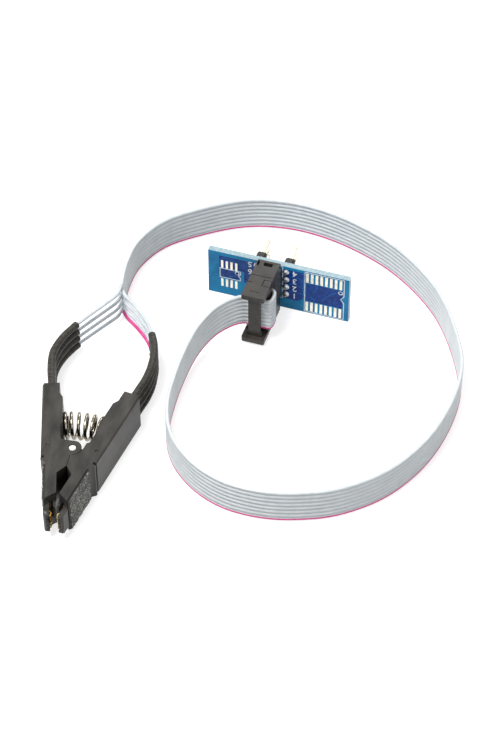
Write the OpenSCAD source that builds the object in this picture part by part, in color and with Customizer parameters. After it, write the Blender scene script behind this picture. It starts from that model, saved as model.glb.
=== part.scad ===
// Spring-loaded test clip for an eight-lead small-outline chip.
// The clip lies on its side: its pivot stands upright, its jaws point along -Y and its handles along +Y.
// A flat cable joins it to a 2 x 4 socket, which plugs onto a small adapter board with two rows of pins.

/* [Clip body] */
// Thickness of each lever, along the pivot
clip_t = 10.4; // [9.5:0.1:12]
// Angle of each lever from the middle of the closed clip
lever_angle = 13; // [11:0.5:15]
// Distance from the pivot to the outer face of a lever
lever_out = 7.5; // [7:0.1:8.5]
// Distance from the pivot to the inner face of a handle
handle_in = 2.5; // [2.4:0.1:3]
// Length of a lever from the pivot to its handle end
handle_len = 21.6; // [20:0.2:28]
// Length of the narrowed end of a handle
handle_neck = 3.4; // [2:0.2:5]
// Step of the inner face at the narrowed end
handle_step = 0.8; // [0.4:0.1:1.1]
// Chamfer along the outer edges of a handle
edge_c = 0.4; // [0.1:0.1:0.8]
// Half width of the contact between the two levers that stops them
stop_gap = 0.06; // [0.04:0.01:0.12]

/* [Pivot] */
// Radius of the steel pivot pin
pin_r = 0.95; // [0.8:0.05:1.1]
// Running clearance between the pin and the knuckles, on the radius
pin_fit = 0.05; // [0.02:0.01:0.1]
// Radius of a hinge knuckle
knuckle_r = 2.2; // [1.9:0.05:2.3]
// Gap between neighbouring knuckles, and between a knuckle and the other lever
knuckle_gap = 0.14; // [0.1:0.01:0.2]

/* [Jaw] */
// Length from the pivot to the tip of a jaw
tip_len = 18.9; // [17:0.1:20]
// Distance from the pivot's line to the inner face of the jaw
jaw_in = 3.65; // [3.5:0.05:3.9]
// Height along a lever, below the pivot, where the side face ends on the inner edge
side_end = 14; // [13:0.1:14.5]
// Spacing of the chip's leads
lead_pitch = 1.27; // [1.27]
// Number of contacts on each jaw
contact_n = 4; // [3:1:4]
// Thickness of one comb tooth
tooth_t = 0.66; // [0.5:0.02:0.7]
// Length of the comb's slots
slot_len = 3.8; // [3:0.1:4.2]
// Depth of the comb's slots
slot_deep = 0.75; // [0.4:0.05:0.9]
// Distance from the pivot's line to the tips of the comb's teeth
comb_in = 5.4; // [5.3:0.05:5.6]
// Thickness of the comb
comb_t = 1.35; // [1.1:0.05:1.6]
// Thickness of a contact strip
strip_t = 0.25; // [0.15:0.05:0.3]
// Width of a contact strip
strip_w = 0.44; // [0.3:0.02:0.5]
// Thickness of the rough grip pad on the outside of a jaw
pad_t = 0.6; // [0.4:0.1:0.8]
// Distance below the pivot where the grip pad starts
pad_start = 4.5; // [4.3:0.1:5.5]
// Inset of the grip pad from the side faces
pad_inset = 0.3; // [0.1:0.1:0.6]

/* [Spring] */
// Outer diameter of the spring
spring_d = 7; // [6.2:0.1:7.4]
// Diameter of the spring wire
spring_wire = 0.8; // [0.6:0.05:0.9]
// Number of turns
spring_turns = 6; // [5:1:7]
// Distance along a handle from the pivot to the spring
spring_at = 12; // [11:0.2:13]
// Height of the peg inside each end of the spring
peg_h = 1.2; // [0.8:0.1:1.6]
// Radial clearance between a peg and the spring
peg_fit = 0.35; // [0.2:0.05:0.5]

/* [Tail pins and sleeves] */
// Spacing of the tail pins in a handle
tail_pitch = 2.3; // [2.1:0.05:2.3]
// Side of a square tail pin
tail_w = 0.64; // [0.5:0.02:0.7]
// Length of a tail pin that stands free in the handle's end
tail_free = 3.6; // [2.5:0.1:4]
// Depth of the open pocket in a handle's end
pocket_deep = 4.6; // [4:0.1:5.5]
// Wall between the pocket and the inner and outer faces of a handle
pocket_wall = 0.8; // [0.6:0.1:1]
// Wall between the pocket and the side faces of a handle
pocket_side = 0.7; // [0.5:0.05:0.75]
// Diameter of a shrink sleeve
sleeve_d = 1.9; // [1.6:0.1:2.2]
// Diameter of one insulated wire
wire_d = 0.9; // [0.8:0.05:1]

/* [Flat cable] */
// Number of wires in the flat cable
wire_n = 8; // [8]
// Spacing of the wires in the flat cable
wire_pitch = 1.27; // [1.27]
// Clearance of the cable's lower edge above the surface that it stands on
cable_lift = 0.05; // [0:0.05:0.5]

/* [Socket] */
// Spacing of the socket's and the strips' pins
pin_pitch = 2.54; // [2.54]
// Number of pins in a row
row_n = 4; // [4]
// Length of the socket, upright
socket_l = 16; // [14.8:0.1:17]
// Width of the socket
socket_w = 6; // [5.8:0.1:6.6]
// Depth of the socket's body, from its mating face to the cable
body_d = 5.9; // [5.6:0.1:7]
// Depth of the socket's cover
cover_d = 3.3; // [2.6:0.1:3.4]
// Length of each end plate of the strain relief beyond the cover
relief_d = 3.8; // [3.4:0.1:4.4]
// Thickness of the strain relief's end plates
relief_t = 1.4; // [1:0.1:1.6]
// Chamfer on the cover's edges, where the cable bends round them
bend_c = 0.6; // [0.5:0.05:0.8]
// Width of the strain relief's bar
bar_w = 3; // [2.4:0.1:4]
// Thickness of the strain relief's bar
bar_t = 1.2; // [0.9:0.1:1.3]
// Side of the square contact holes in the socket
hole_w = 0.92; // [0.84:0.02:1.1]
// Running gap between pieces that slide or snap together
fit_gap = 0.1; // [0.05:0.01:0.15]

/* [Adapter board] */
// Length of the board
board_l = 37.8; // [36:0.2:44]
// Height of the board
board_h = 14.3; // [13.6:0.1:16]
// Thickness of the board
board_t = 1.6; // [1.2:0.1:2]
// Distance of the pin groups from the board's middle, along the board
group_x = -1.8; // [-3:0.1:0]
// Height of the pin groups above the board's middle
group_z = 1.45; // [0.4:0.05:1.6]
// Spacing of the two pin strips
strip_gap = 7.62; // [7.62]
// Height of a pin strip's plastic from the board
strip_h = 2.54; // [1.6:0.02:2.6]
// Height of the header's plastic base under the socket
base_h = 1.6; // [1.5:0.1:2.54]
// Side of a square pin
pin_w = 0.64; // [0.6:0.02:0.68]
// Length of a strip's pins beyond their plastic
dip_len = 5.9; // [3:0.1:6]
// Length of the header's pins inside the socket
mate_len = 5.2; // [4:0.1:5.4]
// Length of a pin's tail beyond the far side of the board
pin_tail = 1; // [0.6:0.1:1.6]
// Thickness of the copper pads
pad_h = 0.06; // [0.04:0.01:0.1]

/* [Placing] */
// Sideways position of the adapter board
plug_x = 37.7; // [37.7]
// Position of the adapter board along the clip's direction
plug_y = 67.3; // [67.3]
// Turn of the adapter board, seen from above
plug_yaw = 7.9; // [7.9]

/* [Hidden] */
$fn = 48;
eps = 0.02;

// Where the middle of the clip lies along its length, so that the clip stands on the frame's origin.
tip_out = comb_in + comb_t;
handle_top = handle_len * cos(lever_angle) - (handle_in + handle_step) * sin(lever_angle);
jaw_bottom = tip_len * cos(lever_angle) + (tip_out - edge_c) * sin(lever_angle);
clip_mid = (handle_top - jaw_bottom) / 2;
mid_z = clip_t / 2;

// A lever is drawn with x outwards from the pivot and y along the lever towards the handle's end.
pocket_n = (handle_in + handle_step + lever_out) / 2;
pocket_w = lever_out - handle_in - handle_step - 2 * pocket_wall;
knuckle_h = (clip_t - 3 * knuckle_gap) / 4;
comb_w = contact_n * lead_pitch + tooth_t;
jaw_face = lever_out - 0.6 - pad_t;
collar = pad_start - 2.3;
relief_run = 1.6;

// Flat cable: its section and the heights at which it runs.
cable_w = (wire_n - 1) * wire_pitch + wire_d;
cable_z = cable_w / 2 + cable_lift;
group_mid = board_h / 2 + group_z;
slot_d = wire_d + fit_gap;

// Depths in front of the board, in the socket's own direction.
body_y0 = -base_h - fit_gap;
body_y1 = body_y0 - body_d;
cover_y0 = body_y1 - slot_d;
cover_y1 = cover_y0 - cover_d;
bar_y0 = cover_y1 - slot_d - 0.3;
relief_y1 = cover_y1 - relief_d;

function unit(v) = v / norm(v);
function turned(p, a) = [p[0] * cos(a) + p[1] * sin(a), p[1] * cos(a) - p[0] * sin(a)];
function to_lever(p) = [p[0] * cos(lever_angle) - p[1] * sin(lever_angle), p[0] * sin(lever_angle) + p[1] * cos(lever_angle)];
function from_lever(p) = [p[0] * cos(lever_angle) + p[1] * sin(lever_angle), p[1] * cos(lever_angle) - p[0] * sin(lever_angle)];

// A smooth curve through a list of points, with k rings between neighbours.
function blend4(a, b, c, d, t) =
  0.5 * (2 * b + (c - a) * t + (2 * a - 5 * b + 4 * c - d) * t * t + (3 * b - a - 3 * c + d) * t * t * t);
function smooth(p, k) = concat(
  [for (i = [0 : len(p) - 2], j = [0 : k - 1])
    blend4(p[max(i - 1, 0)], p[i], p[i + 1], p[min(i + 2, len(p) - 1)], j / k)],
  [p[len(p) - 1]]);
function heading(p, i) = unit(p[min(i + 1, len(p) - 1)] - p[max(i - 1, 0)]);
function aside(t) = unit(cross(t, [0, 0, 1]));

// A section swept along points; each section point is [across, up].
module swept(p, section) {
  m = len(section);
  pts = [for (i = [0 : len(p) - 1], s = section)
    let (t = heading(p, i), a = aside(t), u = cross(a, t)) p[i] + s[0] * a + s[1] * u];
  walls = [for (i = [0 : len(p) - 2], j = [0 : m - 1])
    [i * m + j, i * m + (j + 1) % m, (i + 1) * m + (j + 1) % m, (i + 1) * m + j]];
  first = [for (j = [m - 1 : -1 : 0]) j];
  last = [for (j = [0 : m - 1]) (len(p) - 1) * m + j];
  polyhedron(points = pts, faces = concat(walls, [first, last]), convexity = 10);
}

function ring(d, n) = [for (j = [0 : n - 1]) [cos(j * 360 / n + 180 / n), sin(j * 360 / n + 180 / n)] * d / 2];

// A strip of constant thickness bent along points in a plane.
function strip_side(p, w, i) =
  let (a = p[max(i - 1, 0)], b = p[min(i + 1, len(p) - 1)], t = unit(b - a)) p[i] + [t[1], -t[0]] * w / 2;
function strip_outline(p, w) = concat(
  [for (i = [0 : len(p) - 1]) strip_side(p, w, i)],
  [for (i = [len(p) - 1 : -1 : 0]) strip_side(p, -w, i)]);

// ---------- placing ----------

module at_clip() {
  translate([0, -clip_mid, 0]) children();
}

module right_side() {
  at_clip() rotate([0, 0, -lever_angle]) children();
}

module left_side() {
  at_clip() translate([0, 0, clip_t]) rotate([0, 180, 0]) rotate([0, 0, -lever_angle]) children();
}

module at_plug() {
  translate([plug_x, plug_y - clip_mid, 0]) rotate([0, 0, -plug_yaw]) children();
}

// ---------- clip ----------

// Side outline of a lever, from the handle's end round the outside to the jaw and back along the inside.
module lever_outline() {
  neck = handle_len - handle_neck;
  polygon([
    [handle_in + handle_step, handle_len],
    [lever_out - edge_c, handle_len],
    [lever_out, handle_len - edge_c],
    [lever_out, -collar],
    [lever_out - 0.8, -collar],
    [lever_out - 0.8, -collar - 0.7],
    [lever_out, -collar - 0.7],
    [lever_out, -collar - 1.1],
    [jaw_face, -pad_start],
    [jaw_face, -side_end - relief_run],
    [jaw_in, -side_end],
    [jaw_in, -7.8],
    to_lever([stop_gap, -5.9]),
    to_lever([stop_gap, -knuckle_r]),
    [handle_in, 0],
    [handle_in, 2.6],
    [handle_in + 0.5, 3],
    [handle_in + 0.5, 7.8],
    [handle_in, 8.2],
    [handle_in, neck - 1.4],
    [handle_in + handle_step, neck]
  ]);
}

// The two limbs of a jaw: the toothed comb outside and the short tongue inside.
module jaw_outline() {
  polygon([
    [comb_in, -side_end + 1],
    [jaw_face, -side_end + 1],
    [jaw_face, -side_end - relief_run],
    [tip_out, -side_end - relief_run - 0.6],
    [tip_out, -tip_len + edge_c],
    [tip_out - edge_c, -tip_len],
    [comb_in, -tip_len]
  ]);
  polygon([
    [jaw_in, -side_end + 2],
    [jaw_in + 1.05, -side_end + 2],
    [jaw_in + 0.75, -side_end - 2.3],
    to_lever([stop_gap + 0.04, -side_end - 2.9]),
    [jaw_in, -side_end]
  ]);
}

// A knuckle with the web that carries it.
module knuckle(z) {
  translate([0, 0, z]) {
    cylinder(r = knuckle_r, h = knuckle_h);
    linear_extrude(knuckle_h) polygon([
      [0, knuckle_r],
      [handle_in + 0.6, knuckle_r + 0.8],
      [handle_in + 0.6, -knuckle_r - 0.8],
      [0, -knuckle_r]
    ]);
  }
}

// The path of a contact strip, bowed inwards at its tip.
contact_path = [
  [comb_in - 0.35, -side_end + 3.5],
  [comb_in - 0.35, -side_end - 1],
  [comb_in + 0.1, -side_end - 2],
  [comb_in + 0.1, -side_end - 2.6],
  [comb_in - 0.5, -side_end - 3.7],
  [comb_in - 0.2, -side_end - 4.5]
];

module at_contacts() {
  for (i = [0 : contact_n - 1])
    translate([0, 0, mid_z + (i - (contact_n - 1) / 2) * lead_pitch])
      children();
}

module at_tails() {
  for (i = [0 : contact_n - 1])
    translate([pocket_n, 0, mid_z + (i - (contact_n - 1) / 2) * tail_pitch])
      children();
}

// One lever. Both are the same moulding, one turned over, so that their knuckles interleave.
module lever() {
  difference() {
    union() {
      difference() {
        union() {
          linear_extrude(clip_t) lever_outline();
          translate([0, 0, mid_z - comb_w / 2]) linear_extrude(comb_w) jaw_outline();
        }
        // room for the other lever's knuckles
        translate([0, 0, -1]) cylinder(r = knuckle_r + knuckle_gap, h = clip_t + 2);
      }
      knuckle(0);
      knuckle(2 * (knuckle_h + knuckle_gap));
      // peg that holds the spring
      translate([handle_in + eps, spring_at, mid_z])
        rotate([0, -90, 0]) cylinder(r = spring_d / 2 - spring_wire - peg_fit, h = peg_h + eps);
    }
    // bore for the pivot pin
    translate([0, 0, -1]) cylinder(r = pin_r + pin_fit, h = clip_t + 2);
    // pocket in the handle's end
    translate([pocket_n - pocket_w / 2, handle_len - pocket_deep, pocket_side])
      cube([pocket_w, pocket_deep + 1, clip_t - 2 * pocket_side]);
    // seats of the tail pins
    at_tails() translate([-tail_w / 2 - eps, handle_len - pocket_deep - 3, -tail_w / 2 - eps])
      cube([tail_w + 2 * eps, 3 + eps, tail_w + 2 * eps]);
    // comb slots
    at_contacts() translate([comb_in - 1, -tip_len - 1, -(lead_pitch - tooth_t) / 2])
      cube([1 + slot_deep, slot_len + 1, lead_pitch - tooth_t]);
    // channels of the contact strips
    at_contacts() translate([comb_in - 0.35 - strip_t / 2 - 0.05, -side_end - 2, -strip_w / 2 - 0.05])
      cube([strip_t + 0.1, 5.6, strip_w + 0.1]);
    // chamfers along the handle's outer edges
    for (z = [0, clip_t]) translate([lever_out, -collar, z])
      rotate([0, 45, 0]) translate([-edge_c * 0.7, 0, -edge_c * 0.7])
        cube([edge_c * 1.4, handle_len + collar + 1, edge_c * 1.4]);
    // round moulding marks
    for (z = [-1, clip_t - 0.25]) translate([handle_in + 3.4, 1.2, z]) cylinder(r = 0.6, h = 1.25);
  }
}

module grip_pad() {
  end = side_end + relief_run;
  translate([0, 0, pad_inset]) linear_extrude(clip_t - 2 * pad_inset) polygon([
    [jaw_face, -pad_start - 0.1],
    [jaw_face + pad_t - 0.2, -pad_start - 0.1],
    [jaw_face + pad_t, -pad_start - 0.4],
    [jaw_face + pad_t, -end + 0.5],
    [jaw_face + pad_t - 0.3, -end + 0.1],
    [jaw_face, -end + 0.1]
  ]);
}

module contacts() {
  at_contacts() translate([0, 0, -strip_w / 2]) linear_extrude(strip_w)
    polygon(strip_outline(contact_path, strip_t));
}

module tail_pins() {
  at_tails() translate([-tail_w / 2, handle_len - pocket_deep - 2.9, -tail_w / 2])
    cube([tail_w, 2.9 + tail_free, tail_w]);
}

module left_lever() {
  color([0.11, 0.11, 0.11]) left_side() lever();
}

module right_lever() {
  color([0.13, 0.13, 0.13]) right_side() lever();
}

module left_grip_pad() {
  color([0.3, 0.3, 0.29]) left_side() grip_pad();
}

module right_grip_pad() {
  color([0.3, 0.3, 0.29]) right_side() grip_pad();
}

module left_contacts() {
  color([0.83, 0.65, 0.25]) left_side() contacts();
}

module right_contacts() {
  color([0.83, 0.65, 0.25]) right_side() contacts();
}

module left_tail_pins() {
  color([0.83, 0.68, 0.35]) left_side() tail_pins();
}

module right_tail_pins() {
  color([0.83, 0.68, 0.35]) right_side() tail_pins();
}

module pivot_pin() {
  color([0.75, 0.75, 0.76]) at_clip() translate([0, 0, 0.1]) {
    cylinder(r = pin_r, h = clip_t - 0.35);
    translate([0, 0, clip_t - 0.35]) cylinder(r1 = pin_r, r2 = pin_r - 0.15, h = 0.15, $fn = 48);
  }
}

// The spring bends a little between the slanted handles: its axis is an arc that meets each seat square.
seat = from_lever([handle_in - spring_wire / 2 - 0.04, spring_at]);
arc_r = seat[0] / sin(lever_angle);
arc_y = seat[1] - arc_r * cos(lever_angle);
coil_r = (spring_d - spring_wire) / 2;
coil_steps = 14;
function flat_end(s) = s < 0.12 ? s * s / 0.24 : s > 0.88 ? 0.88 - 0.06 + (0.12 - (1 - s) * (1 - s) / 0.12) / 2 : s - 0.06;
function coil_at(s) =
  let (u = (flat_end(s) - flat_end(0)) / (flat_end(1) - flat_end(0)), b = lever_angle * (2 * u - 1),
       w = 360 * spring_turns * s)
  [(arc_r + coil_r * cos(w)) * sin(b), arc_y + (arc_r + coil_r * cos(w)) * cos(b), mid_z + coil_r * sin(w)];

module jaw_spring() {
  steps = spring_turns * coil_steps;
  color([0.78, 0.78, 0.8]) at_clip()
    swept_coil([for (i = [0 : steps]) coil_at(i / steps)], spring_wire / 2, 8);
}

// A round wire along a coil: each ring stands square to the wire, with one axis away from the coil's middle.
module swept_coil(p, r, m) {
  mid = [0, arc_y, mid_z];
  pts = [for (i = [0 : len(p) - 1], j = [0 : m - 1])
    let (t = heading(p, i),
         b = lever_angle * (2 * i / (len(p) - 1) - 1),
         c = [arc_r * sin(b), arc_y + arc_r * cos(b), mid_z],
         q = p[i] - c, a = unit(q - (q * t) * t), u = cross(t, a))
    p[i] + r * (a * cos(j * 360 / m) + u * sin(j * 360 / m))];
  walls = [for (i = [0 : len(p) - 2], j = [0 : m - 1])
    [i * m + j, (i + 1) * m + j, (i + 1) * m + (j + 1) % m, i * m + (j + 1) % m]];
  first = [for (j = [0 : m - 1]) j];
  last = [for (j = [m - 1 : -1 : 0]) (len(p) - 1) * m + j];
  polyhedron(points = pts, faces = concat(walls, [first, last]), convexity = 10);
}

// ---------- leads and sleeves ----------

// Heights of the tail pins and of the wires of the flat cable.
function tail_z(i) = mid_z + (i - (contact_n - 1) / 2) * tail_pitch;
function wire_z(k) = cable_z + (k - (wire_n - 1) / 2) * wire_pitch;
tail_end = from_lever([pocket_n, handle_len - pocket_deep + 1]);
handle_exit = from_lever([pocket_n, handle_len + 1.5]);

// Routes seen from above, from the handle to the end of the flat cable.
left_sleeve_route = [[-12, 27], [-12.7, 32], [-11.6, 37.5], [-9.3, 42.5]];
left_wire_route = [[-6.4, 47], [-3.4, 51.5], [-1.6, 54.5]];
right_sleeve_route = [[11.8, 27], [12.2, 32], [11.7, 37.5], [10, 42.5]];
right_wire_route = [[7.6, 47], [4, 51.5], [0.6, 55]];
cable_start = [-1.3, 58];
// The wires start just clear of the sleeves' ends.
lead_gap = 0.2;

function sleeve_path(route, side, i) = concat(
  [[side * tail_end[0], tail_end[1], tail_z(i)], [side * handle_exit[0], handle_exit[1], tail_z(i)]],
  [for (q = route) [q[0], q[1], tail_z(i)]]);
function past_end(q) = let (m = len(q) - 1) q[m] + lead_gap * unit(q[m] - q[m - 1]);
function wire_path(sleeve, route, i, k) = concat(
  [concat(past_end(sleeve), [tail_z(i)])],
  [for (j = [0 : len(route) - 1])
    [route[j][0], route[j][1], tail_z(i) + (wire_z(k) - tail_z(i)) * (j + 1) / (len(route) + 1)]],
  [[cable_start[0], cable_start[1], wire_z(k)]]);

module sleeves(route, side) {
  for (i = [0 : contact_n - 1])
    swept(smooth(sleeve_path(route, side, i), 2), ring(sleeve_d, 8));
}

module leads(sleeve, route, first) {
  for (i = [0 : contact_n - 1])
    swept(smooth(wire_path(sleeve, route, i, 2 * i + first), 2), ring(wire_d, 8));
}

module left_sleeves() {
  color([0.12, 0.12, 0.11]) at_clip() sleeves(left_sleeve_route, -1);
}

module right_sleeves() {
  color([0.12, 0.12, 0.11]) at_clip() sleeves(right_sleeve_route, 1);
}

module left_leads() {
  color([0.76, 0.79, 0.8]) at_clip() leads(left_sleeve_route, left_wire_route, 1);
}

module right_leads() {
  color([0.76, 0.79, 0.8]) at_clip() leads(right_sleeve_route, right_wire_route, 0);
}

// ---------- flat cable ----------

// Route of the loop, seen from above, from the clip's leads to the socket.
loop_route = [
  [-1.3, 58], [-1.8, 66], [-0.6, 75], [4.5, 84], [14, 91], [24, 95.8], [34, 97.2], [44, 95.8], [54, 92],
  [64, 86], [73, 77.5], [80, 67.5], [85.5, 54], [87.6, 43], [86, 30], [81.5, 17.5], [74, 6.8], [64, -0.6],
  [54, -3.9], [45, -4.7], [36, -3], [28, 1.8], [22, 9], [19, 18], [18.6, 28]
];
// Heights of the cable above its resting height where it climbs to the socket.
climb_route = [[19.4, 37, 0.5], [21, 44.5, 1.3], [23.8, 50.2, 2.4], [27.2, 53.6, 3.3]];
// Last stretch in the socket's own directions: under the bar, round and into the slot.
bar_mid = (cover_y1 + bar_y0) / 2;
slot_mid = (body_y1 + cover_y0) / 2;
side_x = group_x + socket_w / 2;
plug_route = [
  [group_x - 3.4, bar_mid],
  [group_x, bar_mid],
  [side_x - 0.2, bar_mid],
  [side_x + 0.55, bar_mid + 0.3],
  [side_x + 0.85, bar_mid + 1.1],
  [side_x + 0.9, (bar_mid + slot_mid) / 2],
  [side_x + 0.8, slot_mid - 1.1],
  [side_x + 0.35, slot_mid - 0.3],
  [side_x - 0.4, slot_mid],
  [group_x, slot_mid],
  [group_x - socket_w / 2, slot_mid]
];

function plug_point(p, z) = concat(turned(p, plug_yaw) + [plug_x, plug_y], [z]);
cable_route = concat(
  [for (p = loop_route) [p[0], p[1], cable_z]],
  [for (p = climb_route) [p[0], p[1], cable_z + p[2]]],
  [for (p = plug_route) plug_point(p, group_mid)]);
cable_section = let (h = cable_w / 2, t = wire_d / 2)
  [[t, -h + 0.35], [t, h - 0.35], [t / 2, h], [-t / 2, h], [-t, h - 0.35], [-t, -h + 0.35], [-t / 2, -h], [t / 2, -h]];

module ribbon_cable() {
  color([0.76, 0.79, 0.8]) at_clip() swept(smooth(cable_route, 2), cable_section);
}

// ---------- socket ----------

module at_pins() {
  for (x = [-0.5, 0.5], i = [0 : row_n - 1])
    translate([group_x + x * pin_pitch, 0, group_mid + (i - (row_n - 1) / 2) * pin_pitch])
      children();
}

// A block centred on the pin group, from depth y0 towards the front to depth y1.
module block(w, h, y0, y1) {
  translate([group_x - w / 2, y1, group_mid - h / 2]) cube([w, y0 - y1, h]);
}

module socket_body() {
  color([0.2, 0.19, 0.18]) at_plug() difference() {
    union() {
      block(socket_w, socket_l, body_y0, body_y1);
      // end posts that the cover rests on
      for (s = [-1, 1]) translate([0, 0, s * (cable_w / 2 + fit_gap + 0.75)])
        block(socket_w - 0.8, 1.5, body_y1 + eps, cover_y0);
    }
    // contact holes with their lead-in
    at_pins() {
      translate([-hole_w / 2, body_y1 + 0.4, -hole_w / 2]) cube([hole_w, body_d, hole_w]);
      translate([-0.7, body_y0 - 0.3, -0.7]) cube([1.4, 1, 1.4]);
    }
    // pockets of the contact blades, open to the cable
    at_pins() translate([-0.7, body_y1 - 1, -0.2]) cube([1.4, 1.5, 0.4]);
    // moulded recesses in the two ends
    for (s = [-1, 1]) {
      translate([0.1, 0, s * socket_l / 2]) block(2.3, 3, body_y0 - 0.8, body_y0 - 2);
      translate([-2.5, 0, s * socket_l / 2]) block(0.5, 2, body_y0 - 0.6, body_y0 - 2.3);
    }
    // step along the cable side
    for (s = [-1, 1]) translate([s * socket_w / 2, 0, 0]) block(0.4, socket_l - 4, body_y1 + 1, body_y1 - 1);
  }
}

// Section of the cover: its corners are cut back where the cable bends round them.
module cover_outline() {
  w = socket_w / 2;
  translate([group_x, 0]) polygon([
    [-w + bend_c, cover_y0],
    [w - bend_c, cover_y0],
    [w, cover_y0 - bend_c],
    [w, cover_y1 + bend_c],
    [w - bend_c, cover_y1],
    [-w + bend_c, cover_y1],
    [-w, cover_y1 + bend_c],
    [-w, cover_y0 - bend_c]
  ]);
}

module socket_cover() {
  h = socket_l - 2 * relief_t - 2 * fit_gap;
  color([0.2, 0.19, 0.18]) at_plug() difference() {
    union() {
      translate([0, 0, group_mid - h / 2]) linear_extrude(h) cover_outline();
      // latches that show in the strain relief's end plates
      translate([socket_w / 2 - 1, 0, 0]) block(2 - 0.1, socket_l, cover_y0 - 0.2, cover_y0 - 2.3);
    }
    // grooves that guide the wires
    for (i = [0 : wire_n - 1]) translate([group_x - 5, cover_y0 - 0.05, group_mid + (i - (wire_n - 1) / 2) * wire_pitch])
      rotate([0, 90, 0]) cylinder(r = wire_d / 2 - 0.1, h = 10);
    // slots over the contact blades
    at_pins() translate([-0.7, cover_y0 - 0.9, -0.2]) cube([1.4, 2, 0.4]);
  }
}

module strain_relief() {
  color([0.22, 0.21, 0.2]) at_plug() difference() {
    union() {
      for (s = [-1, 1]) translate([0, 0, s * (socket_l - relief_t) / 2]) {
        block(socket_w, relief_t, body_y1 - fit_gap, relief_y1 + 0.4);
        block(socket_w - 0.8, relief_t, relief_y1 + 0.5, relief_y1);
        for (x = [-1, 1])
          translate([group_x + x * (socket_w / 2 - 0.4), relief_y1 + 0.4, group_mid - relief_t / 2])
            cylinder(r = 0.4, h = relief_t);
      }
      block(bar_w, socket_l - eps, bar_y0, bar_y0 - bar_t);
      // ribs that stiffen the bar where it meets the end plates
      for (s = [-1, 1]) translate([0, 0, s * (socket_l / 2 - relief_t - 0.45)])
        block(bar_w + 0.8, 1, bar_y0, bar_y0 - bar_t);
    }
    // windows for the cover's latches
    translate([socket_w / 2 - 1, 0, 0])
      block(2 + 2 * fit_gap, socket_l + 1, cover_y0 - 0.2 + fit_gap, cover_y0 - 2.3 - fit_gap);
    // fine line across each end plate
    for (s = [-1, 1]) translate([-socket_w / 2 + 0.6, 0, s * socket_l / 2])
      block(1.4, 0.3, cover_y1 + 1.6, cover_y1 + 1.4);
  }
}

// Forked blades: two tines bite into the cable and a leaf runs along each contact hole.
module socket_contacts() {
  color([0.8, 0.66, 0.35]) at_plug() at_pins() {
    for (s = [-1, 1]) translate([s * 0.45 - 0.15, cover_y0 + 0.35, -0.14]) cube([0.3, slot_d, 0.28]);
    translate([-0.6, body_y1 + 0.1, -0.14]) cube([1.2, 0.25, 0.28]);
  }
}

// ---------- adapter board ----------

module adapter_board() {
  color([0.1, 0.43, 0.65]) at_plug() difference() {
    translate([-board_l / 2, 0, 0]) cube([board_l, board_t, board_h]);
    at_pins() rotate([-90, 0, 0]) translate([0, 0, -1]) cylinder(r = 0.5, h = board_t + 2);
    at_strips() rotate([-90, 0, 0]) translate([0, 0, -1]) cylinder(r = 0.5, h = board_t + 2);
  }
}

module at_strips() {
  for (s = [-0.5, 0.5]) translate([s * strip_gap, 0, 0]) at_row() children();
}

module at_row() {
  for (i = [0 : row_n - 1])
    translate([group_x, 0, group_mid + (i - (row_n - 1) / 2) * pin_pitch])
      children();
}

// Two rows of copper pads; x0 is the first pad and z the middle between the rows.
module pad_rows(x0, z, count, w, l, apart) {
  for (i = [0 : count - 1], s = [-0.5, 0.5])
    translate([x0 + i * lead_pitch - w / 2, -pad_h, z + s * apart - l / 2]) cube([w, pad_h, l]);
}

module wide_chip_pads() {
  color([0.86, 0.85, 0.8]) at_plug() pad_rows(board_l / 2 - 11.1, board_h / 2, 8, 0.7, 3.1, 9.8);
}

module narrow_chip_pads() {
  color([0.86, 0.85, 0.8]) at_plug() pad_rows(-board_l / 2 + 3.8, board_h / 2, 4, 0.62, 2.6, 6.3);
}

module header_base() {
  color([0.1, 0.1, 0.1]) at_plug() difference() {
    block(2 * pin_pitch, row_n * pin_pitch, -0.01, -base_h);
    at_pins() translate([-pin_w / 2 - eps, -base_h - 1, -pin_w / 2 - eps])
      cube([pin_w + 2 * eps, base_h + 2, pin_w + 2 * eps]);
    pin_block_notches(2 * pin_pitch, 0, -base_h);
  }
}

// V notches between the pin places on both long sides of a strip's plastic.
module pin_block_notches(w, y0, y1) {
  for (s = [-1, 1], i = [0 : row_n])
    translate([group_x + s * w / 2, y1 - 1, group_mid + (i - row_n / 2) * pin_pitch])
      rotate([0, 45, 0]) translate([-0.35, 0, -0.35]) cube([0.7, y0 - y1 + 2, 0.7]);
}

module header_pins() {
  color([0.83, 0.68, 0.35]) at_plug() at_pins() translate([-pin_w / 2, -base_h - mate_len, -pin_w / 2])
    cube([pin_w, base_h + mate_len + board_t + pin_tail, pin_w]);
}

module strip(s) {
  translate([s * strip_gap, 0, 0]) difference() {
    block(pin_pitch, row_n * pin_pitch, board_t + strip_h, board_t + 0.01);
    at_row() translate([-pin_w / 2 - eps, board_t - 1, -pin_w / 2 - eps])
      cube([pin_w + 2 * eps, strip_h + 2, pin_w + 2 * eps]);
    pin_block_notches(pin_pitch, board_t + strip_h, board_t);
  }
}

module strip_pins(s) {
  translate([s * strip_gap, 0, 0]) at_row() translate([-pin_w / 2, -pin_tail, -pin_w / 2])
    cube([pin_w, pin_tail + board_t + strip_h + dip_len, pin_w]);
}

module strip_left() {
  color([0.1, 0.1, 0.1]) at_plug() strip(-0.5);
}

module strip_right() {
  color([0.1, 0.1, 0.1]) at_plug() strip(0.5);
}

module strip_pins_left() {
  color([0.83, 0.68, 0.35]) at_plug() strip_pins(-0.5);
}

module strip_pins_right() {
  color([0.83, 0.68, 0.35]) at_plug() strip_pins(0.5);
}

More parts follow.
